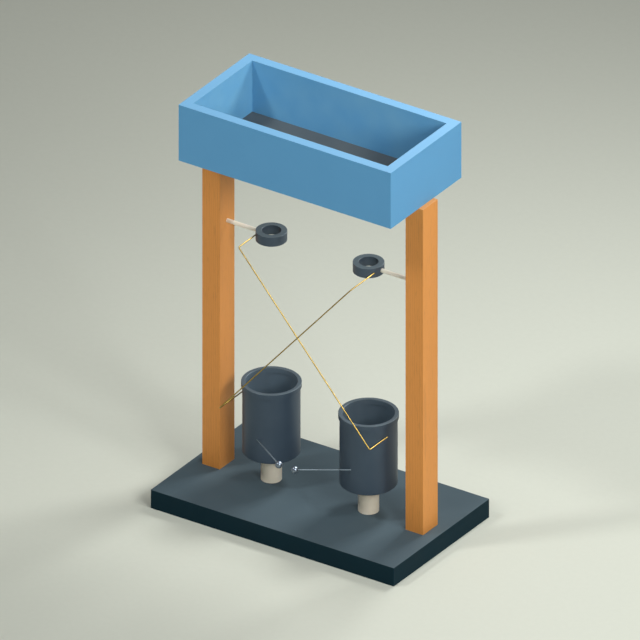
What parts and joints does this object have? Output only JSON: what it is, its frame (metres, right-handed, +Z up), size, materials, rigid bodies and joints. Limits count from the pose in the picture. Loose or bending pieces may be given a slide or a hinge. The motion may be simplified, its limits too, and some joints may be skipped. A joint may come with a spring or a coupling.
{
  "type": "kelvin water dropper",
  "caption": "Tabletop electrostatic generator: a water trough on posts drips through cross-wired rings into insulated cans that charge a spark gap.",
  "frame": {"origin": "middle of the underside of the base board, on the table", "axes": "+X to the right along the trough, +Y to the back, away from the spark gap, +Z up"},
  "size_m": [0.275, 0.162, 0.43],
  "materials": {
    "base_paint": "satin slate grey paint on board",
    "post_wood": "oiled, fine grain",
    "trough_blue": "smooth satin",
    "trough_grey": "smooth satin",
    "can_metal": "dark gunmetal, satin",
    "insulator": "turned, satin",
    "brass": "drawn and turned, polished",
    "spark_steel": "polished",
    "steel": "zinc plated",
    "rubber": "matte black"
  },
  "bodies": {
    "stand": {"base_board": "base_paint", "left_post": "post_wood", "right_post": "post_wood", "post_screws": "steel", "trough_pins": "steel", "left_ring": "can_metal", "right_ring": "can_metal", "left_ring_rod": "insulator", "right_ring_rod": "insulator", "left_lead": "brass", "right_lead": "brass"},
    "trough": {"trough_front_wall": "trough_blue", "trough_back_wall": "trough_blue", "trough_left_wall": "trough_blue", "trough_right_wall": "trough_blue", "trough_floor": "trough_grey", "left_tap_body": "brass", "right_tap_body": "brass", "tap_seals": "rubber", "tap_locknuts": "brass", "left_jet": "brass", "right_jet": "brass"},
    "left_tap": {"left_tap_plug": "brass", "left_tap_lever": "brass", "left_plug_nut": "brass"},
    "right_tap": {"right_tap_plug": "brass", "right_tap_lever": "brass", "right_plug_nut": "brass"},
    "left_turntable": {"left_stub": "insulator", "left_pivot_screw": "steel", "left_pivot_washer": "steel"},
    "right_turntable": {"right_stub": "insulator", "right_pivot_screw": "steel", "right_pivot_washer": "steel"},
    "left_collector": {"left_can": "can_metal", "left_spark_rod": "spark_steel", "left_spark_ball": "spark_steel"},
    "right_collector": {"right_can": "can_metal", "right_spark_rod": "spark_steel", "right_spark_ball": "spark_steel"}
  },
  "joints": [
    {"name": "trough_lift", "type": "slide", "parent": "stand", "child": "trough", "axis": [0, 0, 1], "range_m": [0, 0.1]},
    {"name": "left_tap_turn", "type": "hinge", "parent": "trough", "child": "left_tap", "pos_m": [-0.055, 0, 0.355], "axis": [0, -1, 0], "range_deg": [0, 90]},
    {"name": "right_tap_turn", "type": "hinge", "parent": "trough", "child": "right_tap", "pos_m": [0.055, 0, 0.355], "axis": [0, 1, 0], "range_deg": [0, 90]},
    {"name": "left_gap_turn", "type": "hinge", "parent": "stand", "child": "left_turntable", "pos_m": [-0.055, 0, 0.02], "axis": [0, 0, 1], "range_deg": [-20, 4]},
    {"name": "right_gap_turn", "type": "hinge", "parent": "stand", "child": "right_turntable", "pos_m": [0.055, 0, 0.02], "axis": [0, 0, -1], "range_deg": [-20, 4]},
    {"name": "left_can_lift", "type": "slide", "parent": "left_turntable", "child": "left_collector", "axis": [0, 0, 1], "range_m": [0, 0.06]},
    {"name": "right_can_lift", "type": "slide", "parent": "right_turntable", "child": "right_collector", "axis": [0, 0, 1], "range_m": [0, 0.06]}
  ]
}
